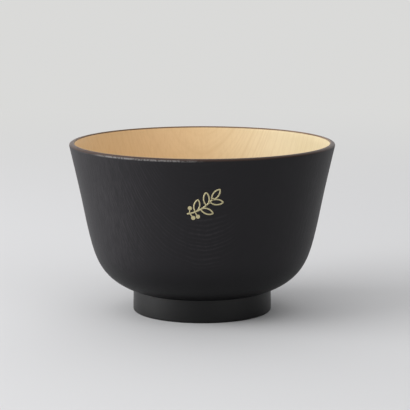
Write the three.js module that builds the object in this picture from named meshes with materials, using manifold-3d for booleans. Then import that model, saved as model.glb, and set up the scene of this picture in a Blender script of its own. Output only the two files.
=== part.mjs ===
// A footed soup bowl, in millimetres, +Z up, with its origin on the table under the middle of the foot.
// A turned wooden bowl has a short spigot underneath, and a turned foot ring is glued round that spigot.
// Black lacquer covers the outside, the lip and the foot, and a clear finish covers the well.
// A small leaf sprig is printed in pale gold on the front wall, which faces -Y.

import * as THREE from "three";
import { mergeVertices } from "three/addons/utils/BufferGeometryUtils.js";
import Module from "manifold-3d";

// Outside of the bowl
const rimDiameter = 112;
const bowlHeight = 72;
const waistDiameter = 96.6; // where the round belly runs into the flared wall
const waistHeight = 35;
const bellyHeading = 70; // headings are degrees from straight up, positive outwards
const waistHeading = 13;
const rimHeading = 13;

// Lip
const lipThickness = 2.2;
const lipDrop = 1.2; // height over which the wall rounds over into the lip
const lipInnerRound = 0.5;

// Well
const waistWall = 3.2;
const floorThickness = 6;

// Foot
const footTopDiameter = 58.6;
const footSpread = 0.1; // how far the base of the foot stands out past its top
const footHeight = 9.5; // from the table to the corner under the belly
const footRingWidth = 5.4;
const footEdgeRound = 0.8;
const recessDepth = 4.8;
const recessFillet = 1.2;

// Films
const lacquerThickness = 0.3;
const clearThickness = 0.2;
const glueThickness = 0.2;
const inkThickness = 0.12;
const inkClearance = 0.08;

// Printed sprig, drawn flat and then wrapped on the wall
const sprigDrop = 18; // from the top of the rim to its middle
const stemWidth = 0.6;
const leafLength = 5.2;
const leafWidth = 2.8;
const leafLine = 0.55;
const leafWidest = 0.42; // share of a leaf's length
const berryDiameter = 1.7;
const stalkWidth = 0.45;
const stemStart = new THREE.Vector2(-6.9, -4.6);
const stemBend = new THREE.Vector2(-0.8, -3.8);
const stemEnd = new THREE.Vector2(3.7, 2.2);
const leaves = [
  { along: 0.3, turn: 56 },
  { along: 0.5, turn: -54 },
  { along: 0.72, turn: 50 },
  { along: 0.86, turn: -52 },
  { along: 0.94, turn: 4 },
];
const berries = [
  { along: 0.08, turn: 72, stalk: 2.3 },
  { along: 0.1, turn: -68, stalk: 2.2 },
  { along: 0.27, turn: -78, stalk: 2.3 },
];

// Steps along the curves and round the axis
const turnSteps = 56;
const bellySteps = 8;
const flareSteps = 5;
const crownSteps = 3;
const roundSteps = 2;
const wellWallSteps = 3;
const wellBowlSteps = 8;
const stemSteps = 12;
const leafSteps = 8;
const berrySteps = 12;

// Share of the distance between two ends of a span that each of its handles takes
const roundEase = 0.39;
const bellyEase = [0.467, 0.388];
const flareEase = [0.23, 0.76];
const wellWallEase = [0.33, 0.33];
const wellBowlEase = [0.42, 0.55];

const rimRadius = rimDiameter / 2;
const waistRadius = waistDiameter / 2;
const footTopRadius = footTopDiameter / 2;
const footBottomRadius = footTopRadius + footSpread;
const recessRadius = footBottomRadius - footRingWidth;
const boreRadius = recessRadius + lacquerThickness;
const spigotRadius = boreRadius - glueThickness;
const spigotBottom = recessDepth + lacquerThickness;
const wellFloor = spigotBottom + floorThickness;

const radians = THREE.MathUtils.degToRad;
const point = (radius, height) => new THREE.Vector2(radius, height);
const heading = (degrees) => point(Math.sin(radians(degrees)), Math.cos(radians(degrees)));

// A smooth stretch of the profile between two places, each with the heading that the profile has there
function span(from, fromHeading, to, toHeading, ease) {
  const reach = from.distanceTo(to);
  const leave = heading(fromHeading).multiplyScalar(reach * ease[0]).add(from);
  const arrive = heading(toHeading).multiplyScalar(-reach * ease[1]).add(to);
  return new THREE.CubicBezierCurve(from, leave, arrive, to);
}

// Points along a span, moved by an inset into the material on its left
function trace(curve, steps, inset) {
  return Array.from({ length: steps + 1 }, (_, step) => {
    const along = curve.getTangent(step / steps);
    const left = point(-along.y, along.x);
    return curve.getPoint(step / steps).addScaledVector(left, inset);
  });
}

// The skin of the bowl, as a designer would draw it: up the outside, over the lip and down into the well
const corner = point(footTopRadius, footHeight);
const waist = point(waistRadius, waistHeight);
const wallTop = point(rimRadius, bowlHeight - lipDrop);
const lipCrest = point(rimRadius - lipThickness + lipInnerRound, bowlHeight);
const lipEdge = point(rimRadius - lipThickness, bowlHeight - lipInnerRound);
const wellWaist = point(waistRadius - waistWall, waistHeight);
const wellCentre = point(0, wellFloor);
const wellHeading = rimHeading - 180; // down the inside, in line with the wall

const belly = span(corner, bellyHeading, waist, waistHeading, bellyEase);
const flare = span(waist, waistHeading, wallTop, rimHeading, flareEase);
const lipCrown = span(wallTop, rimHeading, lipCrest, -90, [roundEase, roundEase]);
const lipRound = span(lipCrest, -90, lipEdge, wellHeading, [roundEase, roundEase]);
const wellWall = span(lipEdge, wellHeading, wellWaist, waistHeading - 180, wellWallEase);
const wellBowl = span(wellWaist, waistHeading - 180, wellCentre, -90, wellBowlEase);

// Where the skin, inset by some depth, meets the side of the foot under the belly
function footCorner(inset) {
  return point(footTopRadius - inset, footHeight + inset * Math.tan(radians(bellyHeading) / 2));
}

// Where the lacquer stops and the clear finish starts, at a depth under the skin
function lipEdgeAt(inset) {
  const down = heading(wellHeading);
  return lipEdge.clone().addScaledVector(point(-down.y, down.x), inset);
}

// The lacquered skin from the corner at the foot to the inner edge of the lip
function outsideSkin(inset) {
  return [
    footCorner(inset),
    ...trace(belly, bellySteps, inset).slice(1),
    ...trace(flare, flareSteps, inset).slice(1),
    ...trace(lipCrown, crownSteps, inset).slice(1),
    ...trace(lipRound, roundSteps, inset).slice(1, -1),
    lipEdgeAt(inset),
  ];
}

// The clear skin from the inner edge of the lip down to the middle of the well
function wellSkin(inset) {
  return [
    lipEdgeAt(inset),
    ...trace(wellWall, wellWallSteps, inset).slice(1),
    ...trace(wellBowl, wellBowlSteps, inset).slice(1, -1),
    point(0, wellFloor - inset),
  ];
}

// Points on an arc about a centre, with angles in degrees from the radius, anticlockwise
function arc(centre, radius, fromDegrees, toDegrees) {
  return Array.from({ length: roundSteps + 1 }, (_, step) => {
    const angle = radians(fromDegrees + ((toDegrees - fromDegrees) * step) / roundSteps);
    return point(Math.cos(angle), Math.sin(angle)).multiplyScalar(radius).add(centre);
  });
}

// The bottom of the foot and its outer side, from the recess wall to just under the corner
function footBase(inset) {
  const round = Math.max(footEdgeRound - inset, 0);
  const inner = point(recessRadius + footEdgeRound, footEdgeRound);
  const outer = point(footBottomRadius - footEdgeRound, footEdgeRound);
  return [...arc(inner, round, 180, 270), ...arc(outer, round, 270, 360)];
}

// Neighbouring points that coincide are kept once
function distinct(points) {
  const nearest = 1e-4;
  return points.filter((p, i) => i === 0 || p.distanceTo(points[i - 1]) > nearest);
}

// A closed section turned about the axis. An open section starts and ends on the axis.
function turned(section, closed) {
  const points = distinct(section);
  return new THREE.LatheGeometry(closed ? [...points, points[0].clone()] : points, turnSteps);
}

const lacquerWood = outsideSkin(lacquerThickness);
const clearWood = wellSkin(clearThickness);
const footWood = footBase(lacquerThickness);
const shoulder = lacquerWood[0]; // the wooden corner between the belly and the foot ring
const ringTop = shoulder.y - glueThickness;
const footSide = footWood.at(-1);
const ringTopShare = (ringTop - footSide.y) / (shoulder.y - footSide.y);
const ringTopOuter = footSide.clone().lerp(shoulder, ringTopShare);

// Turned bowl with its spigot
function woodenBowl() {
  return turned([
    point(0, spigotBottom),
    point(spigotRadius, spigotBottom),
    point(spigotRadius, shoulder.y),
    ...lacquerWood,
    ...clearWood,
  ]);
}

// Turned ring that the bowl stands on
function footRing() {
  return turned([...footWood, ringTopOuter, point(boreRadius, ringTop)], true);
}

// Glue between the ring and the bowl: a washer under the shoulder and a sleeve round the spigot
function glueFilm() {
  return turned(
    [
      point(spigotRadius, spigotBottom),
      point(boreRadius, spigotBottom),
      point(boreRadius, ringTop),
      ringTopOuter,
      shoulder,
      point(spigotRadius, shoulder.y),
    ],
    true,
  );
}

// Black lacquer from the corner at the foot to the inner edge of the lip
function bodyLacquer() {
  return turned([...outsideSkin(0), ...lacquerWood.toReversed()], true);
}

// Black lacquer on the foot: its side, its base and the recess under the bowl
function footLacquer() {
  const filletCentre = point(recessRadius - recessFillet, recessDepth - recessFillet);
  return turned([
    point(0, recessDepth),
    ...arc(filletCentre, recessFillet, 90, 0),
    ...footBase(0),
    corner,
    shoulder,
    ...footWood.toReversed(),
    point(boreRadius, spigotBottom),
    point(0, spigotBottom),
  ]);
}

// Clear finish in the well
function wellFinish() {
  return turned([...clearWood.toReversed(), ...wellSkin(0)]);
}

const wasm = await Module();
wasm.setup();

// A closed geometry as a solid that can be joined to others
function solid(geometry) {
  const bare = geometry.clone();
  bare.deleteAttribute("normal");
  bare.deleteAttribute("uv");
  const merged = mergeVertices(bare);
  return new wasm.Manifold(
    new wasm.Mesh({
      numProp: 3,
      vertProperties: merged.getAttribute("position").array,
      triVerts: new Uint32Array(merged.index.array),
    }),
  );
}

// A solid as a geometry again
function geometryOf(made) {
  const mesh = made.getMesh();
  return new THREE.BufferGeometry()
    .setAttribute("position", new THREE.BufferAttribute(mesh.vertProperties, 3))
    .setIndex(new THREE.BufferAttribute(mesh.triVerts, 1));
}

// A flat shape with the thickness of the ink
function inked(shape, steps) {
  const settings = { depth: inkThickness, bevelEnabled: false, curveSegments: steps };
  return new THREE.ExtrudeGeometry(shape, settings);
}

// A line of ink along a curve
function stroke(curve, width, steps) {
  const side = (sign) =>
    Array.from({ length: steps + 1 }, (_, step) => {
      const along = curve.getTangent(step / steps);
      const across = point(-along.y, along.x).multiplyScalar((sign * width) / 2);
      return curve.getPoint(step / steps).add(across);
    });
  return inked(new THREE.Shape([...side(-1), ...side(1).reverse()]), steps);
}

// The two curved sides of a leaf, from its foot to its tip and back
function leafSides(path, start, tip, bulge) {
  const widest = start + (tip - start) * leafWidest;
  path.moveTo(start, 0);
  path.quadraticCurveTo(widest, -bulge, tip, 0);
  path.quadraticCurveTo(widest, bulge, start, 0);
  return path;
}

// An outlined leaf that lies along +X from the origin. Its line is longest at the two points.
function leafOutline() {
  const shape = leafSides(new THREE.Shape(), 0, leafLength, leafWidth);
  const holeStart = leafLine * 1.6;
  const holeTip = leafLength - leafLine * 2;
  const holeBulge = leafWidth - leafLine * 2.2;
  shape.holes.push(leafSides(new THREE.Path(), holeStart, holeTip, holeBulge));
  return inked(shape, leafSteps);
}

// A berry on its stalk, which lies along +X from the origin
function berry(stalk) {
  const disc = inked(new THREE.Shape().absarc(stalk, 0, berryDiameter / 2, 0, 2 * Math.PI), berrySteps);
  const line = new THREE.LineCurve(point(0, 0), point(stalk, 0));
  return solid(disc).add(solid(stroke(line, stalkWidth, 1)));
}

// A solid turned to a direction off the stem and set on it
function onStem(made, stem, along, turn) {
  const towards = stem.getTangent(along);
  const angle = THREE.MathUtils.radToDeg(Math.atan2(towards.y, towards.x)) + turn;
  const place = stem.getPoint(along);
  return made.rotate([0, 0, angle]).translate([place.x, place.y, 0]);
}

// The flat sprig: a bent stem with outlined leaves and filled berries
function flatSprig() {
  const stem = new THREE.QuadraticBezierCurve(stemStart, stemBend, stemEnd);
  let drawn = solid(stroke(stem, stemWidth, stemSteps));
  for (const { along, turn } of leaves) {
    drawn = drawn.add(onStem(solid(leafOutline()), stem, along, turn));
  }
  for (const { along, turn, stalk } of berries) {
    drawn = drawn.add(onStem(berry(stalk), stem, along, turn));
  }
  return geometryOf(drawn);
}

// The place on the lacquered wall at a height above the table, and the way up the wall there
function wallAt(height) {
  const wall = trace(flare, flareSteps, 0);
  const above = wall.findIndex((p) => p.y > height);
  const upper = above < 0 ? flareSteps : Math.max(above, 1);
  const [low, high] = [wall[upper - 1], wall[upper]];
  const place = low.clone().lerp(high, (height - low.y) / (high.y - low.y));
  return { place, up: high.clone().sub(low).normalize() };
}

// The sprig wrapped on the wall: across the print is round the bowl, up the print is up the wall
function printedSprig() {
  const geometry = flatSprig();
  const position = geometry.getAttribute("position");
  const middle = wallAt(bowlHeight - sprigDrop);
  for (let i = 0; i < position.count; i++) {
    const { place, up } = wallAt(middle.place.y + position.getY(i) * middle.up.y);
    place.addScaledVector(point(up.y, -up.x), inkClearance + position.getZ(i));
    const angle = position.getX(i) / middle.place.x;
    position.setXYZ(i, place.x * Math.sin(angle), place.y, place.x * Math.cos(angle));
  }
  return geometry;
}

const wood = new THREE.MeshStandardMaterial({ color: 0xdcb98a, roughness: 0.5, metalness: 0 });
const lacquer = new THREE.MeshStandardMaterial({ color: 0x262628, roughness: 0.45, metalness: 0 });
const clear = new THREE.MeshStandardMaterial({ color: 0xe4c191, roughness: 0.35, metalness: 0 });
const glue = new THREE.MeshStandardMaterial({ color: 0xcdb48a, roughness: 0.6, metalness: 0 });
const ink = new THREE.MeshStandardMaterial({ color: 0xb9ad86, roughness: 0.4, metalness: 0.3 });

const pieces = [
  ["wooden_bowl", woodenBowl(), wood],
  ["foot_ring", footRing(), wood],
  ["foot_glue", glueFilm(), glue],
  ["body_lacquer", bodyLacquer(), lacquer],
  ["foot_lacquer", footLacquer(), lacquer],
  ["well_finish", wellFinish(), clear],
  ["printed_sprig", printedSprig(), ink],
];

const soupBowl = new THREE.Group();
for (const [name, geometry, material] of pieces) {
  const mesh = new THREE.Mesh(geometry, material);
  mesh.name = name;
  soupBowl.add(mesh);
}
soupBowl.rotation.x = Math.PI / 2; // the sections are turned about +Y, and the bowl stands on +Z

export default soupBowl;
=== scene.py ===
import math

import bmesh
import bpy
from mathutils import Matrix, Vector


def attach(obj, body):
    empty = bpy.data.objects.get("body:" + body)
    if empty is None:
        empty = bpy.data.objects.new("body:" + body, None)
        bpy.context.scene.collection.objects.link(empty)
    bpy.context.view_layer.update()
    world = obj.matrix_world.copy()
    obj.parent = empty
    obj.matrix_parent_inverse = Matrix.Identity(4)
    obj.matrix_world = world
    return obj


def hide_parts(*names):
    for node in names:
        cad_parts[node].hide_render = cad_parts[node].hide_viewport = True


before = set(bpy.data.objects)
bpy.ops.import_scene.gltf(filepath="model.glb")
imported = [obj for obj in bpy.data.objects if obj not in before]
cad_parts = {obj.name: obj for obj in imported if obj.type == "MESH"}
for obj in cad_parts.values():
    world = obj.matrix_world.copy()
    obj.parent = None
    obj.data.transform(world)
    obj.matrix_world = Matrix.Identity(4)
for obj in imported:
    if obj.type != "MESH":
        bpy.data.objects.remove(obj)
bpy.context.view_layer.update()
print("frame loaded:", ", ".join(sorted(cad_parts)))

scene = bpy.context.scene
mm = 0.001


class Wire:
    # one output of a node, with Python arithmetic that adds Math nodes
    def __init__(self, tree, node, socket):
        self.tree = tree
        self.node = node
        self.socket = socket

    def out(self, name):
        return Wire(self.tree, self.node, self.node.outputs[name])

    def __add__(self, other):
        return self.tree.math("ADD", self, other)

    def __radd__(self, other):
        return self.tree.math("ADD", other, self)

    def __sub__(self, other):
        return self.tree.math("SUBTRACT", self, other)

    def __rsub__(self, other):
        return self.tree.math("SUBTRACT", other, self)

    def __mul__(self, other):
        return self.tree.math("MULTIPLY", self, other)

    def __rmul__(self, other):
        return self.tree.math("MULTIPLY", other, self)

    def __truediv__(self, other):
        return self.tree.math("DIVIDE", self, other)

    def __rtruediv__(self, other):
        return self.tree.math("DIVIDE", other, self)

    def __pow__(self, other):
        return self.tree.math("POWER", self, other)

    def __rpow__(self, other):
        return self.tree.math("POWER", other, self)

    def __neg__(self):
        return self.tree.math("MULTIPLY", self, -1.0)


class Tree:
    # a shader or geometry tree that nodes are added to in one way
    def __init__(self, nodeTree):
        self.nodeTree = nodeTree

    def add(self, nodeType, settings=None, sockets=None, output=0):
        node = self.nodeTree.nodes.new(nodeType)
        for name, value in (settings or {}).items():
            setattr(node, name, value)
        for key, value in (sockets or {}).items():
            if isinstance(value, Wire):
                self.nodeTree.links.new(value.socket, node.inputs[key])
            else:
                node.inputs[key].default_value = value
        return Wire(self, node, node.outputs[output] if len(node.outputs) else None)

    def math(self, operation, *values):
        return self.add("ShaderNodeMath", {"operation": operation}, dict(enumerate(values)))

    def vector(self, operation, *values, output="Vector"):
        settings = {"operation": operation}
        return self.add("ShaderNodeVectorMath", settings, dict(enumerate(values)), output)

    def split(self, vector):
        parts = self.add("ShaderNodeSeparateXYZ", {}, {0: vector})
        return [parts.out(axis) for axis in "XYZ"]

    def placeInMm(self):
        place = self.add("ShaderNodeTexCoord", output="Object")
        return self.vector("MULTIPLY", place, (1 / mm, 1 / mm, 1 / mm))

    def smooth(self, value, low, high):
        settings = {"interpolation_type": "SMOOTHSTEP"}
        sockets = {"Value": value, "From Min": low, "From Max": high}
        return self.add("ShaderNodeMapRange", settings, sockets)

    def atLeast(self, value, least):
        return value * (1.0 - least) + least

    def tint(self, factor, first, second):
        settings = {"data_type": "RGBA"}
        return self.add("ShaderNodeMix", settings, {0: factor, 6: first, 7: second}, output=2)

    def noise(self, vector, scale, detail=2.0, roughness=0.5):
        scaled = self.vector("MULTIPLY", vector, scale)
        sockets = {"Vector": scaled, "Scale": 1.0, "Detail": detail, "Roughness": roughness}
        return self.add("ShaderNodeTexNoise", {}, sockets)

    def noiseAlong(self, value):
        sockets = {"W": value, "Scale": 1.0, "Detail": 1.0}
        return self.add("ShaderNodeTexNoise", {"noise_dimensions": "1D"}, sockets)

    def bump(self, heightInMm):
        sockets = {"Strength": 1.0, "Distance": mm, "Height": heightInMm}
        return self.add("ShaderNodeBump", {}, sockets)

    def join(self, *shapes):
        joined = self.add("GeometryNodeJoinGeometry")
        for shape in shapes:
            self.nodeTree.links.new(shape.socket, joined.node.inputs[0])
        return joined


# Camera

lookFrom = {
    "distance": 800.0,  # mm from the bowl's axis
    "height": 174.04,
    "aside": 1.2,
    "pitch": 9.173,  # degrees down
    "turn": 0.9,  # degrees round the bowl, so that the print sits a little right of the middle
    "lens": 167.73,
    "sensor": 36.0,
}


def makeCamera(s):
    data = bpy.data.cameras.new("camera")
    data.lens = s["lens"]
    data.sensor_width = s["sensor"]
    camera = bpy.data.objects.new("camera", data)
    turn = math.radians(-s["turn"])
    x, y = s["aside"] * mm, -s["distance"] * mm
    camera.location = (
        x * math.cos(turn) - y * math.sin(turn),
        x * math.sin(turn) + y * math.cos(turn),
        s["height"] * mm,
    )
    camera.rotation_euler = (math.radians(90 - s["pitch"]), 0, turn)
    scene.collection.objects.link(camera)
    scene.camera = camera


makeCamera(lookFrom)
print("camera set")


# Wood grain, shared by the bare wood and by the lacquer that it shows through

grain = {
    "heart": (4.0, 220.0),  # mm, where the middle of the tree stood, behind the bowl
    "drift": (  # mm that the rings wander, and how often in a mm
        (0.6, (1 / 30, 1 / 30, 1 / 70)),
        (0.22, (1 / 5, 1 / 5, 1 / 20)),
    ),
    "ringWidth": 0.62,  # mm
    "lean": 0.13,  # mm inwards for each mm up, that the rings lean by at the front
    "leanHeight": 40.0,  # mm above the table, where the lean moves nothing
    "leanAcross": (34.0, 8.0),  # mm from the middle, where the lean starts and is full
    "leanAhead": (-10.0, -35.0),
    "uneven": 1.6,  # rings, how far their spacing strays
    "unevenOften": 0.17,
    "boldOften": 0.7,  # some years grew more late wood
    "boldFirst": 11.0,
    "boldLimits": (0.32, 0.66),
    "meagreYear": 0.2,  # share of the late wood that the other years have
    "lateEdge": 2.5,  # how sharply the late wood starts and ends
    "patchScale": (0.05, 0.05, 0.035),  # how often in a mm
    "patchLimits": (0.38, 0.6),
    "breakScale": (0.5, 0.5, 0.17),
    "breakLimits": (0.36, 0.6),
    "brokenRing": 0.4,  # share of the late wood that is left where a ring breaks off
    "fibreScale": (1.0, 1.0, 0.05),
    "fibreRoughness": 0.7,
}


def woodGrain(tree, s):
    inMm = tree.placeInMm()
    moved = inMm
    for size, often in s["drift"]:
        wander = tree.noise(inMm, often).out("Color")
        centred = tree.vector("SUBTRACT", wander, (0.5, 0.5, 0.5))
        moved = tree.vector("ADD", moved, tree.vector("MULTIPLY", centred, (2 * size, 2 * size, 0)))
    x, y, z = tree.split(moved)
    dx = x - s["heart"][0]
    dy = y - s["heart"][1]
    reach = tree.math("SQRT", dx * dx + dy * dy)
    ahead = tree.smooth(y, *s["leanAhead"])
    leaning = tree.smooth(tree.math("ABSOLUTE", x), *s["leanAcross"]) * ahead
    even = (reach + leaning * (z - s["leanHeight"]) * s["lean"]) / s["ringWidth"]
    rings = even + (tree.noiseAlong(even * s["unevenOften"]) - 0.5) * s["uneven"]
    wave = tree.math("SINE", rings * (2 * math.pi)) * 0.5 + 0.5
    bold = tree.smooth(tree.noiseAlong(rings * s["boldOften"] + s["boldFirst"]), *s["boldLimits"])
    patch = tree.smooth(tree.noise(inMm, s["patchScale"], detail=1.0), *s["patchLimits"])
    whole = tree.smooth(tree.noise(inMm, s["breakScale"]), *s["breakLimits"])
    grown = tree.atLeast(bold, s["meagreYear"])
    late = wave ** s["lateEdge"] * grown * tree.atLeast(whole, s["brokenRing"])
    fibre = tree.noise(inMm, s["fibreScale"], detail=3.0, roughness=s["fibreRoughness"])
    return inMm, late, bold, patch, fibre


def newMaterial(name):
    material = bpy.data.materials.new(name)
    material.use_nodes = True
    material.node_tree.nodes.clear()
    return material, Tree(material.node_tree)


def finishMaterial(tree, shader):
    tree.add("ShaderNodeOutputMaterial", {}, {"Surface": shader})


# Finishes: a pattern's scale is how often it repeats in a mm, limits are where a change starts and is full

wallLacquer = {
    "colour": (0.0111, 0.0105, 0.0123, 1),
    "ridgeColour": (0.034, 0.0315, 0.035, 1),
    "paintedShadeColour": (0.003, 0.003, 0.0036, 1),  # painted shade: darker towards the table, under the belly that faces the shaded floor
    "paintedShadeLimits": (30.0, 12.0),  # mm above the table
    "thickSide": (0.53, -0.85, 0),  # thick here too, so that less of the grain shows
    "thickLimits": (0.88, 0.98),
    "thickHides": 0.7,
    "ringsShown": 0.16,
    "faintPatch": 0.4,
    "thinSpots": (  # mm, thin here, so that the rings show: where, how far, and how much more
        ((2.0, -49.0, 39.5), (3.0, 17.0), 0.37),
        ((-30.0, -43.0, 50.0), (8.0, 30.0), 0.28),
    ),
    "fibreLimits": (0.34, 0.72),
    "sideLimits": (0.12, 0.6),
    "sideStreaks": 0.5,  # the fibres are cut along on both sides
    "otherStreaks": 0.04,
    "speckScale": (1.3, 1.3, 1.3),
    "edgeColour": (0.058, 0.029, 0.018, 1),  # thin on top of the lip, and brown from the wood
    "edgeLimits": (70.8, 71.8),  # mm above the table
    "edgeShown": 0.6,
    "edgeSpecks": 0.5,
    "innerColour": (0.17, 0.105, 0.062, 1),  # thinnest where it ends inside
    "innerLimits": (54.5, 54.0),  # mm from the axis
    "glintColour": (0.15, 0.142, 0.14, 1),  # painted highlight: the lip's outer edge made paler at the front left, where the lamp glints on it
    "glintSide": (-0.45, -0.893, 0),
    "glintSideLimits": (0.88, 0.97),
    "glintSpecks": (0.3, 0.55),
    "glintHeights": (70.6, 71.1, 71.3, 71.7),  # mm
    "ridgeHeight": 0.03,
    "fibreHeight": 0.012,
    "roughness": 0.5,
    "fibreRoughness": 0.12,
    "speckRoughness": 0.05,
    "specular": 0.18,
}


def makeWallLacquer(s):
    material, tree = newMaterial("wallLacquer")
    inMm, late, _, patch, fibre = woodGrain(tree, grain)
    height = tree.split(inMm)[2]
    level = tree.vector("MULTIPLY", inMm, (1, 1, 0))
    outwards = tree.vector("NORMALIZE", level)
    thick = tree.vector("DOT_PRODUCT", outwards, s["thickSide"], output="Value")
    shown = 1.0 - tree.smooth(thick, *s["thickLimits"]) * s["thickHides"]
    clear = s["ringsShown"]
    for spot, reach, more in s["thinSpots"]:
        away = tree.vector("DISTANCE", inMm, spot, output="Value")
        clear = (1.0 - tree.smooth(away, *reach)) * more + clear
    rings = late * tree.atLeast(patch, s["faintPatch"]) * clear
    across = tree.split(outwards)[0]
    sideways = tree.smooth(across * across, *s["sideLimits"])
    streak = tree.smooth(fibre, *s["fibreLimits"]) * (sideways * s["sideStreaks"] + s["otherStreaks"])
    ridge = (rings + streak) * shown
    speck = tree.noise(inMm, s["speckScale"])
    grained = tree.tint(ridge, s["colour"], s["ridgeColour"])
    # painted shade: the wall's black gets darker low down under the belly
    shadedLow = tree.tint(tree.smooth(height, *s["paintedShadeLimits"]), grained, s["paintedShadeColour"])
    edge = tree.smooth(height, *s["edgeLimits"])
    browned = tree.tint(edge * (speck * s["edgeSpecks"] + s["edgeShown"]), shadedLow, s["edgeColour"])
    radius = tree.vector("LENGTH", level, output="Value")
    edged = tree.tint(edge * tree.smooth(radius, *s["innerLimits"]), browned, s["innerColour"])
    # painted highlight: a pale broken line on the lip's outer edge, on the side towards the lamp
    side = tree.vector("DOT_PRODUCT", outwards, s["glintSide"], output="Value")
    under, bottom, top, over = s["glintHeights"]
    band = tree.smooth(height, under, bottom) * tree.smooth(height, over, top)
    glintBreaks = tree.smooth(speck, *s["glintSpecks"])
    paintedGlint = band * tree.smooth(side, *s["glintSideLimits"]) * glintBreaks
    rough = s["roughness"] + (fibre - 0.5) * s["fibreRoughness"] + (speck - 0.5) * s["speckRoughness"]
    shader = tree.add("ShaderNodeBsdfPrincipled", {}, {
        "Base Color": tree.tint(paintedGlint, edged, s["glintColour"]),
        "Roughness": rough,
        "Specular IOR Level": s["specular"],
        "Normal": tree.bump(ridge * s["ridgeHeight"] + fibre * s["fibreHeight"]),
    })
    finishMaterial(tree, shader)
    return material


footLacquer = {
    # painted shade: the same black lacquer as the wall, made much darker for the shade under the belly
    "colour": (0.0015, 0.0015, 0.0017, 1),
    "paleColour": (0.0024, 0.0024, 0.0027, 1),
    "flowScale": (0.35, 0.35, 0.35),
    "rippleScale": (1.6, 1.6, 1.6),
    "rippleHeight": 0.004,  # mm
    "roughness": 0.42,
    "flowRoughness": 0.1,
    "specular": 0.31,
}


def makeFootLacquer(s):
    material, tree = newMaterial("footLacquer")
    inMm = tree.placeInMm()
    flow = tree.noise(inMm, s["flowScale"])
    ripple = tree.noise(inMm, s["rippleScale"], detail=1.0)
    shader = tree.add("ShaderNodeBsdfPrincipled", {}, {
        "Base Color": tree.tint(flow, s["colour"], s["paleColour"]),
        "Roughness": s["roughness"] + (flow - 0.5) * s["flowRoughness"],
        "Specular IOR Level": s["specular"],
        "Normal": tree.bump(ripple * s["rippleHeight"]),
    })
    finishMaterial(tree, shader)
    return material


clearedWood = {
    "early": (0.868, 0.616, 0.351, 1),
    "late": (0.802, 0.551, 0.3, 1),
    "fibre": (0.817, 0.568, 0.316, 1),
    "lineLimits": (-14.0, 10.0),  # mm across, where the lines get stronger
    "faintLine": 0.3,
    "lateShown": 0.75,
    "boldShown": 0.85,
    "boldEdge": 3.0,
    "faintPatch": 0.6,
    "threadLimits": (0.42, 0.7),
    "threadsShown": 0.8,
    "sheenTint": (0.745, 0.922, 1.075, 1),  # painted sheen: less red and bluer towards the right, the side the lamp lights
    "sheenLimits": (-30.0, 55.0),  # mm across
    "ringHeight": 0.006,  # mm
    "fibreHeight": 0.004,
    "roughness": 0.42,
    "fibreRoughness": 0.15,
    "specular": 0.1,
    "coat": 0.1,
    "coatRoughness": 0.32,
}


def makeWood(name, s, coat):
    material, tree = newMaterial(name)
    inMm, late, bold, patch, fibre = woodGrain(tree, grain)
    aside = tree.split(inMm)[0]
    strong = tree.atLeast(tree.smooth(aside, *s["lineLimits"]), s["faintLine"])
    drawn = late * s["lateShown"] + bold ** s["boldEdge"] * s["boldShown"]
    lines = drawn * tree.atLeast(patch, s["faintPatch"]) * strong
    ringed = tree.tint(lines, s["early"], s["late"])
    threads = tree.smooth(fibre, *s["threadLimits"]) * s["threadsShown"]
    threaded = tree.tint(threads, ringed, s["fibre"])
    # painted sheen: the wood turns less red across to the lit side of the well
    sheenTinted = tree.tint(tree.smooth(aside, *s["sheenLimits"]), (1, 1, 1, 1), s["sheenTint"])
    shader = tree.add("ShaderNodeBsdfPrincipled", {}, {
        "Base Color": tree.vector("MULTIPLY", threaded, sheenTinted),
        "Roughness": s["roughness"] + (fibre - 0.5) * s["fibreRoughness"],
        "Specular IOR Level": s["specular"],
        "Coat Weight": coat,
        "Coat Roughness": s["coatRoughness"],
        "Normal": tree.bump(late * s["ringHeight"] + fibre * s["fibreHeight"]),
    })
    finishMaterial(tree, shader)
    return material


goldInk = {
    "colour": (0.52, 0.46, 0.265, 1),
    "thinColour": (0.44, 0.39, 0.22, 1),
    "screenScale": (5.0, 5.0, 5.0),
    "screenHeight": 0.004,  # mm
    "roughness": 0.5,
    "screenRoughness": 0.2,
    "metallic": 0.25,
}


def makeGoldInk(s):
    material, tree = newMaterial("goldInk")
    screen = tree.noise(tree.placeInMm(), s["screenScale"])
    shader = tree.add("ShaderNodeBsdfPrincipled", {}, {
        "Base Color": tree.tint(screen, s["colour"], s["thinColour"]),
        "Roughness": s["roughness"] + (screen - 0.5) * s["screenRoughness"],
        "Metallic": s["metallic"],
        "Normal": tree.bump(screen * s["screenHeight"]),
    })
    finishMaterial(tree, shader)
    return material


setGlue = {
    "colour": (0.62, 0.47, 0.26, 1),
    "paleColour": (0.7, 0.57, 0.36, 1),
    "cloudScale": (0.8, 0.8, 0.8),
    "roughness": 0.6,
    "cloudRoughness": 0.2,
}


def makeGlue(s):
    material, tree = newMaterial("setGlue")
    cloud = tree.noise(tree.placeInMm(), s["cloudScale"], detail=3.0)
    shader = tree.add("ShaderNodeBsdfPrincipled", {}, {
        "Base Color": tree.tint(cloud, s["colour"], s["paleColour"]),
        "Roughness": s["roughness"] + (cloud - 0.5) * s["cloudRoughness"],
    })
    finishMaterial(tree, shader)
    return material


wallFinish = makeWallLacquer(wallLacquer)
footFinish = makeFootLacquer(footLacquer)
wellFinish = makeWood("clearedWood", clearedWood, clearedWood["coat"])
bareFinish = makeWood("bareWood", clearedWood, 0.0)
inkFinish = makeGoldInk(goldInk)
glueFinish = makeGlue(setGlue)
print("finishes made")


# Sections, in mm: x is the distance from the axis and y the height
# A heading is in degrees from straight up, outwards, and an ease is the share that each end holds it for

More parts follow.
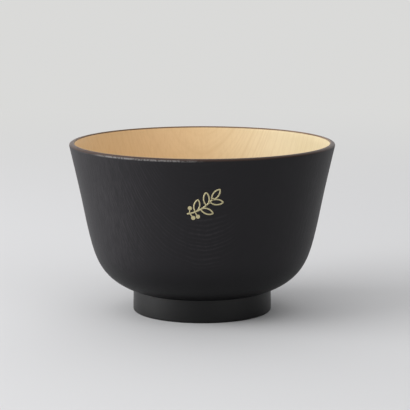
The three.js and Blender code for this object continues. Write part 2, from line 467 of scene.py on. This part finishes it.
bowl = {
    "rimRadius": 56.0,
    "height": 72.0,
    "waistRadius": 48.3,
    "waistHeight": 35.0,
    "bellyHeading": 70.0,
    "wallHeading": 13.0,
    "lipThickness": 2.2,
    "lipDrop": 1.2,
    "lipInnerRound": 0.5,
    "waistWall": 3.2,
    "wellFloor": 11.1,
    "lacquer": 0.3,
    "bellyEase": (0.467, 0.388),
    "wallEase": (0.23, 0.76),
    "lipEase": (0.39, 0.39),
    "wellEase": (0.33, 0.33),
    "floorEase": (0.42, 0.55),
    "bellySteps": 44,
    "wallSteps": 28,
    "lipSteps": 14,
    "lipInnerSteps": 8,
    "wellSteps": 24,
    "floorSteps": 48,
    "hiddenShare": 0.5,  # of these steps, where the lacquer meets the wood
    "turnSteps": 240,
}

foot = {
    "topRadius": 29.3,
    "spread": 0.1,
    "height": 9.5,
    "ringWidth": 5.4,
    "edgeRound": 0.8,
    "recessDepth": 4.8,
    "recessFillet": 1.2,
    "lacquer": 0.3,
    "glue": 0.2,
    "roundSteps": 8,
    "turnSteps": 192,
}

turnedMesh = {
    "weld": 2e-6,  # metres, closes the seam and the poles
    "merge": 1e-7,
    "sliver": 1e-8,
    "sharpDegrees": 35,
}


def compass(degrees):
    return Vector((math.sin(math.radians(degrees)), math.cos(math.radians(degrees))))


def span(start, startHeading, end, endHeading, ease, steps):
    reach = (end - start).length
    leave = start + compass(startHeading) * reach * ease[0]
    arrive = end - compass(endHeading) * reach * ease[1]
    made = []
    for step in range(steps + 1):
        t = step / steps
        u = 1 - t
        place = start * u**3 + leave * (3 * u * u * t) + arrive * (3 * u * t * t) + end * t**3
        along = (leave - start) * (u * u) + (arrive - leave) * (2 * u * t) + (end - arrive) * (t * t)
        made.append((place, along.normalized()))
    return made


def sunk(points, depth):
    return [place + Vector((-along.y, along.x)) * depth for place, along in points]


def arc(centre, radius, start, end, steps):
    angles = [math.radians(start + (end - start) * step / steps) for step in range(steps + 1)]
    return [centre + Vector((math.cos(a), math.sin(a))) * radius for a in angles]


def bowlSkin(s, f, density):
    corner = Vector((f["topRadius"], f["height"]))
    waist = Vector((s["waistRadius"], s["waistHeight"]))
    wallTop = Vector((s["rimRadius"], s["height"] - s["lipDrop"]))
    lipEdge = Vector((s["rimRadius"] - s["lipThickness"], s["height"] - s["lipInnerRound"]))
    lipCrest = lipEdge + Vector((s["lipInnerRound"], s["lipInnerRound"]))
    wellWaist = Vector((s["waistRadius"] - s["waistWall"], s["waistHeight"]))
    middle = Vector((0, s["wellFloor"]))
    up, inwards, down = s["wallHeading"], -90, s["wallHeading"] - 180

    def steps(name):
        return max(2, round(s[name] * density))

    outside = (
        span(corner, s["bellyHeading"], waist, up, s["bellyEase"], steps("bellySteps"))
        + span(waist, up, wallTop, up, s["wallEase"], steps("wallSteps"))[1:]
        + span(wallTop, up, lipCrest, inwards, s["lipEase"], steps("lipSteps"))[1:]
        + span(lipCrest, inwards, lipEdge, down, s["lipEase"], steps("lipInnerSteps"))[1:]
    )
    well = (
        span(lipEdge, down, wellWaist, down, s["wellEase"], steps("wellSteps"))
        + span(wellWaist, down, middle, inwards, s["floorEase"], steps("floorSteps"))[1:]
    )
    return outside, well


def footCorner(s, f, depth):
    rise = depth * math.tan(math.radians(s["bellyHeading"]) / 2)
    return Vector((f["topRadius"] - depth, f["height"] + rise))


def geometryTree(name, inputs, output):
    group = bpy.data.node_groups.new(name, "GeometryNodeTree")
    for label, kind in inputs:
        group.interface.new_socket(label, in_out="INPUT", socket_type="NodeSocket" + kind)
    group.interface.new_socket(output, in_out="OUTPUT", socket_type="NodeSocketGeometry")
    tree = Tree(group)
    return tree, tree.add("NodeGroupInput")


# Geometry Nodes: a section drawn in the XZ plane, turned about Z

def turningTree():
    inputs = (("Section", "Geometry"), ("Turn Steps", "Int"), ("Weld", "Float"), ("Finish", "Material"))
    tree, given = geometryTree("turnedSection", inputs, "Turned")
    section, turnSteps = given.out("Section"), given.out("Turn Steps")
    rows = tree.add("GeometryNodeAttributeDomainSize", {"component": "MESH"}, {0: section})
    grid = tree.add("GeometryNodeMeshGrid", {}, {"Vertices X": turnSteps + 1, "Vertices Y": rows})
    index = tree.add("GeometryNodeInputIndex")
    column = tree.math("FLOOR", (index + 0.5) / rows)
    drawn = tree.add("GeometryNodeSampleIndex", {"data_type": "FLOAT_VECTOR", "domain": "POINT"}, {
        "Geometry": section,
        "Value": tree.add("GeometryNodeInputPosition"),
        "Index": index - column * rows,
    })
    radius, _, height = tree.split(drawn)
    angle = column / turnSteps * (2 * math.pi)
    turned = tree.add("ShaderNodeCombineXYZ", {}, {
        "X": radius * tree.math("SINE", angle),
        "Y": -(radius * tree.math("COSINE", angle)),
        "Z": height,
    })
    moved = tree.add("GeometryNodeSetPosition", {}, {"Geometry": grid, "Position": turned})
    weld = {"Geometry": moved, "Distance": given.out("Weld")}
    welded = tree.add("GeometryNodeMergeByDistance", {}, weld)
    real = tree.add("GeometryNodeRealizeInstances", {}, {"Geometry": welded})
    soft = tree.add("GeometryNodeSetShadeSmooth", {}, {"Geometry": real})
    finish = {"Geometry": soft, "Material": given.out("Finish")}
    dressed = tree.add("GeometryNodeSetMaterial", {}, finish)
    tree.add("NodeGroupOutput", {}, {"Turned": dressed})
    return tree.nodeTree


def runTree(host, nodeTree, values):
    modifier = host.modifiers.new("nodes", "NODES")
    modifier.node_group = nodeTree
    for item in nodeTree.interface.items_tree:
        if item.in_out == "INPUT" and item.name in values:
            modifier[item.identifier] = values[item.name]
    graph = bpy.context.evaluated_depsgraph_get()
    mesh = bpy.data.meshes.new_from_object(host.evaluated_get(graph))
    host.modifiers.remove(modifier)
    plain = host.data
    host.data = mesh
    bpy.data.meshes.remove(plain)
    mesh.name = host.name


def tidyMesh(piece, s):
    work = bmesh.new()
    work.from_mesh(piece.data)
    bmesh.ops.remove_doubles(work, verts=work.verts, dist=s["merge"])
    bmesh.ops.dissolve_degenerate(work, edges=work.edges, dist=s["sliver"])
    bmesh.ops.recalc_face_normals(work, faces=work.faces)
    work.to_mesh(piece.data)
    work.free()
    piece.data.set_sharp_from_angle(angle=math.radians(s["sharpDegrees"]))


turning = turningTree()


def turnedPiece(name, section, turnSteps, finish):
    mesh = bpy.data.meshes.new(name)
    edges = [(i, i + 1) for i in range(len(section) - 1)]
    mesh.from_pydata([(p.x * mm, 0, p.y * mm) for p in section], edges, [])
    piece = bpy.data.objects.new(name, mesh)
    scene.collection.objects.link(piece)
    runTree(piece, turning, {"Turn Steps": turnSteps, "Weld": turnedMesh["weld"], "Finish": finish})
    tidyMesh(piece, turnedMesh)
    return piece


def outerCoat(s, f):
    outside, _ = bowlSkin(s, f, 1.0)
    inside, _ = bowlSkin(s, f, s["hiddenShare"])
    under = [footCorner(s, f, s["lacquer"])] + sunk(inside, s["lacquer"])[1:]
    loop = [place for place, _ in outside] + under[::-1]
    return loop + loop[:1]


def woodSection(s, f):
    outside, _ = bowlSkin(s, f, s["hiddenShare"])
    _, well = bowlSkin(s, f, 1.0)
    shoulder = footCorner(s, f, s["lacquer"])
    spigot = f["topRadius"] + f["spread"] - f["ringWidth"] + f["lacquer"] - f["glue"]
    bottom = f["recessDepth"] + f["lacquer"]
    under = [Vector((0, bottom)), Vector((spigot, bottom)), Vector((spigot, shoulder.y)), shoulder]
    return under + sunk(outside, s["lacquer"])[1:] + [place for place, _ in well]


def footSection(s, f):
    base = f["topRadius"] + f["spread"]
    recess = base - f["ringWidth"]
    edge, fillet, coat = f["edgeRound"], f["recessFillet"], f["lacquer"]
    steps, coatSteps = f["roundSteps"], f["roundSteps"] // 2
    inner = Vector((recess + edge, edge))
    outer = Vector((base - edge, edge))
    hollow = Vector((recess - fillet, f["recessDepth"] - fillet))
    return (
        [Vector((0, f["recessDepth"]))]
        + arc(hollow, fillet, 90, 0, steps)
        + arc(inner, edge, 180, 270, steps)
        + arc(outer, edge, 270, 360, steps)
        + [footCorner(s, f, 0), footCorner(s, f, coat)]
        + arc(outer, edge - coat, 360, 270, coatSteps)
        + arc(inner, edge - coat, 270, 180, coatSteps)
        + [Vector((recess + coat, f["recessDepth"] + coat)), Vector((0, f["recessDepth"] + coat))]
    )


blackWall = turnedPiece("blackWall", outerCoat(bowl, foot), bowl["turnSteps"], wallFinish)
turnedWood = turnedPiece("turnedWood", woodSection(bowl, foot), bowl["turnSteps"], wellFinish)
blackFoot = turnedPiece("blackFoot", footSection(bowl, foot), foot["turnSteps"], footFinish)
for piece in (blackWall, turnedWood, blackFoot):
    print("turned", piece.name, len(piece.data.polygons), "faces")


# Geometry Nodes: a flat sprig of ink, wrapped on the wall

sprig = {
    "middle": 54.0,  # mm above the table
    "stem": ((-6.9, -4.6), (-0.8, -3.8), (3.7, 2.2)),
    "stemWidth": 0.6,
    "leafLength": 5.2,
    "leafWidth": 2.8,
    "leafLine": 0.55,
    "leafPoint": 1.5,  # 1 is an oval, more has sharper ends
    "berryDiameter": 1.7,
    "stalkLength": 2.3,
    "stalkWidth": 0.45,
    # where each starts, as a share of the stem, and how many degrees it turns off it
    "leaves": ((0.3, 56), (0.5, -54), (0.72, 50), (0.86, -52), (0.94, 4)),
    "berries": ((0.08, 72), (0.1, -68), (0.27, -78)),
    "thickness": 0.12,
    "sunk": 0.02,
    "girth": 52.2,  # mm, the wall's radius behind the print
    "lean": 12.2,  # degrees
    "stemSteps": 28,
    "leafSteps": 40,
    "berrySteps": 28,
    "stalkSteps": 6,
}


def sprigTree(s):
    sizes = ("Stem Width", "Leaf Length", "Leaf Width", "Leaf Line", "Berry Diameter", "Stalk Length",
             "Stalk Width", "Thickness", "Lift", "Middle", "Girth", "Rise")
    inputs = [("Places", "Geometry"), ("Wall", "Object")]
    inputs += [(size, "Float") for size in sizes]
    inputs += [("Finish", "Material")]
    tree, given = geometryTree("wrappedSprig", inputs, "Printed")
    thickness = given.out("Thickness")

    def line(curve, width):
        nibSize = {"Width": width, "Height": thickness}
        nib = tree.add("GeometryNodeCurvePrimitiveQuadrilateral", {}, nibSize)
        sockets = {"Curve": curve, "Profile Curve": nib, "Fill Caps": True}
        return tree.add("GeometryNodeCurveToMesh", {}, sockets)

    start, bend, end = [(x * mm, y * mm, 0) for x, y in s["stem"]]
    stemCurve = tree.add("GeometryNodeCurveQuadraticBezier", {}, {
        "Resolution": s["stemSteps"], "Start": start, "Middle": bend, "End": end,
    })
    stem = line(stemCurve, given.out("Stem Width"))

    # a leaf is a circle drawn out to two points
    circle = {"Resolution": s["leafSteps"], "Radius": 1.0}
    ring = tree.add("GeometryNodeCurvePrimitiveCircle", {"mode": "RADIUS"}, circle)
    along, side, _ = tree.split(tree.add("GeometryNodeInputPosition"))
    swell = tree.math("SIGN", side) * tree.math("ABSOLUTE", side) ** s["leafPoint"]
    leafPlace = tree.add("ShaderNodeCombineXYZ", {}, {
        "X": (along + 1) * 0.5 * given.out("Leaf Length"),
        "Y": swell * 0.5 * (given.out("Leaf Width") - given.out("Leaf Line")),
    })
    leafCurve = tree.add("GeometryNodeSetPosition", {}, {"Geometry": ring, "Position": leafPlace})
    leaf = line(leafCurve, given.out("Leaf Line"))

    # a berry is a disc at the end of its stalk
    disc = tree.add("GeometryNodeMeshCylinder", {}, {
        "Vertices": s["berrySteps"], "Radius": given.out("Berry Diameter") * 0.5, "Depth": thickness,
    })
    tip = tree.add("ShaderNodeCombineXYZ", {}, {"X": given.out("Stalk Length")})
    berryEnd = tree.add("GeometryNodeTransform", {}, {"Geometry": disc, "Translation": tip})
    straight = tree.add("GeometryNodeCurvePrimitiveLine", {}, {"End": tip})
    stepped = {"Curve": straight, "Count": s["stalkSteps"]}
    stalk = line(tree.add("GeometryNodeResampleCurve", {}, stepped), given.out("Stalk Width"))
    berry = tree.join(berryEnd, stalk)

    angle = tree.add("GeometryNodeInputNamedAttribute", {"data_type": "FLOAT"}, {"Name": "angle"})
    isLeaf = tree.add("GeometryNodeInputNamedAttribute", {"data_type": "BOOLEAN"}, {"Name": "isLeaf"})
    turn = tree.add("ShaderNodeCombineXYZ", {}, {"Z": angle})
    isBerry = tree.add("FunctionNodeBooleanMath", {"operation": "NOT"}, {0: isLeaf})
    placed = []
    for shape, chosen in ((leaf, isLeaf), (berry, isBerry)):
        placed.append(tree.add("GeometryNodeInstanceOnPoints", {}, {
            "Points": given.out("Places"), "Selection": chosen, "Instance": shape, "Rotation": turn,
        }))
    flat = tree.join(stem, *placed)
    real = tree.add("GeometryNodeRealizeInstances", {}, {"Geometry": flat})

    # across the print is round the bowl, up the print is up the wall
    relative = {"transform_space": "RELATIVE"}
    wall = tree.add("GeometryNodeObjectInfo", relative, {"Object": given.out("Wall")})
    across, upwards, above = tree.split(tree.add("GeometryNodeInputPosition"))
    way = across / given.out("Girth")
    height = given.out("Middle") + upwards * given.out("Rise")
    sine, cosine = tree.math("SINE", way), tree.math("COSINE", way)
    far = given.out("Girth") * 2
    hit = tree.add("GeometryNodeRaycast", {}, {
        "Target Geometry": wall.out("Geometry"),
        "Source Position": tree.add("ShaderNodeCombineXYZ", {}, {
            "X": far * sine, "Y": -(far * cosine), "Z": height,
        }),
        "Ray Direction": tree.add("ShaderNodeCombineXYZ", {}, {"X": -sine, "Y": cosine}),
        "Ray Length": far,
    })
    out = tree.add("ShaderNodeVectorMath", {"operation": "SCALE"}, {
        0: hit.out("Hit Normal"), "Scale": above + given.out("Lift"),
    })
    laid = tree.vector("ADD", hit.out("Hit Position"), out)
    wrapped = tree.add("GeometryNodeSetPosition", {}, {"Geometry": real, "Position": laid})
    finish = {"Geometry": wrapped, "Material": given.out("Finish")}
    dressed = tree.add("GeometryNodeSetMaterial", {}, finish)
    tree.add("NodeGroupOutput", {}, {"Printed": dressed})
    return tree.nodeTree


def makeSprig(s, wall, finish):
    start, bend, end = [Vector(p) for p in s["stem"]]
    places, angles, kinds = [], [], []
    for isLeaf, marks in ((True, s["leaves"]), (False, s["berries"])):
        for share, turn in marks:
            u = 1 - share
            place = start * (u * u) + bend * (2 * u * share) + end * (share * share)
            along = (bend - start) * u + (end - bend) * share
            places.append((place.x * mm, place.y * mm, 0))
            angles.append(math.atan2(along.y, along.x) + math.radians(turn))
            kinds.append(isLeaf)
    mesh = bpy.data.meshes.new("goldSprig")
    mesh.from_pydata(places, [], [])
    mesh.attributes.new("angle", "FLOAT", "POINT").data.foreach_set("value", angles)
    mesh.attributes.new("isLeaf", "BOOLEAN", "POINT").data.foreach_set("value", kinds)
    piece = bpy.data.objects.new("goldSprig", mesh)
    scene.collection.objects.link(piece)
    values = {
        "Wall": wall,
        "Finish": finish,
        "Stem Width": s["stemWidth"] * mm,
        "Leaf Length": s["leafLength"] * mm,
        "Leaf Width": s["leafWidth"] * mm,
        "Leaf Line": s["leafLine"] * mm,
        "Berry Diameter": s["berryDiameter"] * mm,
        "Stalk Length": s["stalkLength"] * mm,
        "Stalk Width": s["stalkWidth"] * mm,
        "Thickness": s["thickness"] * mm,
        "Lift": (s["thickness"] / 2 - s["sunk"]) * mm,
        "Middle": s["middle"] * mm,
        "Girth": s["girth"] * mm,
        "Rise": math.cos(math.radians(s["lean"])),
    }
    runTree(piece, sprigTree(s), values)
    return piece


goldSprig = makeSprig(sprig, blackWall, inkFinish)
print("sprig printed", len(goldSprig.data.polygons), "faces")


# The frame: what each piece stands for

for piece, slotName, nodes in (
    (blackWall, "black_lacquer", ("body_lacquer",)),
    (blackFoot, "black_lacquer", ("foot_lacquer",)),
    (turnedWood, "clear_finish", ("wooden_bowl", "well_finish")),
    (goldSprig, "gold_ink", ("printed_sprig",)),
):
    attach(piece, "root")
    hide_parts(*nodes)

for nodeName, finish in (("foot_ring", bareFinish), ("foot_glue", glueFinish)):
    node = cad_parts[nodeName]
    node.data.materials.clear()
    node.data.materials.append(finish)
print("pieces set on the frame")


# Stage, in metres: a pale table top under soft light

stage = {
    "tableColour": (0.692, 0.693, 0.7035, 1),
    "toothScale": (900.0, 900.0, 900.0),
    "toothShade": 0.985,
    "farColour": (0.7, 0.7, 0.69, 1),
    "farLimits": (0.2, 0.8),  # from the bowl, where the light on the table is evened out
    "reach": 12.0,
}


def makeTable(s):
    material, tree = newMaterial("paleTable")
    place = tree.add("ShaderNodeTexCoord", output="Object")
    length = tree.vector("LENGTH", place, output="Value")
    shade = [c * s["toothShade"] for c in s["tableColour"][:3]] + [1]
    pale = tree.tint(tree.noise(place, s["toothScale"]), s["tableColour"], shade)
    lit = tree.add("ShaderNodeBsdfDiffuse", {}, {"Color": pale})
    even = tree.add("ShaderNodeEmission", {}, {"Color": s["farColour"], "Strength": 1.0})
    path = tree.add("ShaderNodeLightPath")
    seen = tree.math("MAXIMUM", path.out("Is Camera Ray"), path.out("Is Glossy Ray"))
    far = tree.smooth(length, *s["farLimits"]) * seen
    shown = tree.add("ShaderNodeMixShader", {}, {0: far, 1: lit, 2: even})
    gap = tree.add("ShaderNodeBsdfTransparent")
    back = tree.add("ShaderNodeNewGeometry", output="Backfacing")  # seen through from below
    finishMaterial(tree, tree.add("ShaderNodeMixShader", {}, {0: back, 1: shown, 2: gap}))
    mesh = bpy.data.meshes.new("table")
    r = s["reach"]
    mesh.from_pydata([(-r, -r, 0), (r, -r, 0), (r, r, 0), (-r, r, 0)], [], [(0, 1, 2, 3)])
    mesh.materials.append(material)
    table = bpy.data.objects.new("table", mesh)
    scene.collection.objects.link(table)


leftBox = {
    "at": (-1.05, -0.26, 0.5),
    "aim": (0, 0, 0.04),
    "size": (1.0, 0.7),
    "power": 10.45,  # watts
}


def makeLamp(name, s):
    data = bpy.data.lights.new(name, "AREA")
    data.shape = "RECTANGLE"
    data.size, data.size_y = s["size"]
    data.energy = s["power"]
    lamp = bpy.data.objects.new(name, data)
    lamp.location = s["at"]
    aim = Vector(s["aim"]) - Vector(s["at"])
    lamp.rotation_euler = aim.to_track_quat("-Z", "Y").to_euler()
    scene.collection.objects.link(lamp)


room = {
    "all": 0.12,  # how bright it is all round, and what more comes from each side
    "overhead": 0.755,
    "overheadFocus": 6.0,
    "behind": 1.72,
    "frontHigh": 0.82,
    "frontSides": 4.63,
    "leftHigh": 0.5,
    "leftEdge": 72.0,  # a bright strip just above the table
    "leftEdgeFocus": 10.0,
    "leftEdgeLow": 60.0,
}


def makeWorld(s):
    world = bpy.data.worlds.new("room")
    world.use_nodes = True
    world.node_tree.nodes.clear()
    tree = Tree(world.node_tree)
    x, y, z = tree.split(tree.add("ShaderNodeTexCoord", output="Generated"))
    left, front, back, up = [tree.math("MAXIMUM", v, 0.0) for v in (-x, -y, y, z)]
    low = 1.0 - tree.math("ABSOLUTE", z)
    strength = (
        up ** s["overheadFocus"] * s["overhead"]
        + back * back * s["behind"]
        + front * (front * x * x * s["frontSides"] + up * s["frontHigh"])
        + left * up * s["leftHigh"]
        + left ** s["leftEdgeFocus"] * low ** s["leftEdgeLow"] * s["leftEdge"]
        + s["all"]
    )
    glow = tree.add("ShaderNodeBackground", {}, {"Color": (1.0, 1.0, 1.0, 1), "Strength": strength})
    tree.add("ShaderNodeOutputWorld", {}, {"Surface": glow})
    scene.world = world


makeTable(stage)
makeLamp("leftBox", leftBox)
makeWorld(room)
scene.view_settings.view_transform = "Standard"
print("stage lit")
